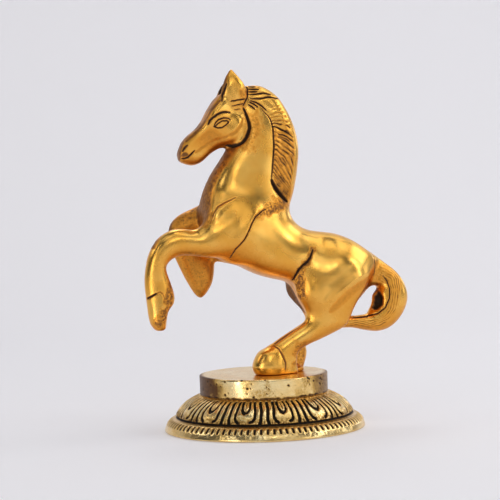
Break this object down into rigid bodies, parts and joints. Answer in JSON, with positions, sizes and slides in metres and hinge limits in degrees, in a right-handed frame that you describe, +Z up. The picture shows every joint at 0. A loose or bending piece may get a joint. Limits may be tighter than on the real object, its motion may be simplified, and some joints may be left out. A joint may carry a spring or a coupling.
{
  "type": "horse statue",
  "caption": "Small gold-finished metal horse rearing on its hind legs, on a plain round cap over a domed skirt of raised petals, with a felt underside.",
  "frame": {"origin": "centre of the felt pad's underside, on the table", "axes": "+Z up, the horse faces -X with its tail at +X, and its left side is towards -Y"},
  "size_m": [0.106, 0.078, 0.1392],
  "materials": {
    "gold_casting": "gold plated, satin to polished, with black antiquing in the grooves",
    "antiqued_gold": "gold plated, wiped with dark antiquing between the petals",
    "screw_steel": "zinc plated",
    "board": "raw hardboard",
    "felt": "black felt"
  },
  "bodies": {
    "root": {"horse_body": "gold_casting", "foreleg_left": "gold_casting", "foreleg_right": "gold_casting", "tail": "gold_casting", "plinth_cap": "gold_casting", "petal_skirt": "antiqued_gold", "hoof_screw_left": "screw_steel", "hoof_screw_right": "screw_steel", "washer_left": "screw_steel", "washer_right": "screw_steel", "base_board": "board", "felt_pad": "felt"}
  },
  "joints": []
}
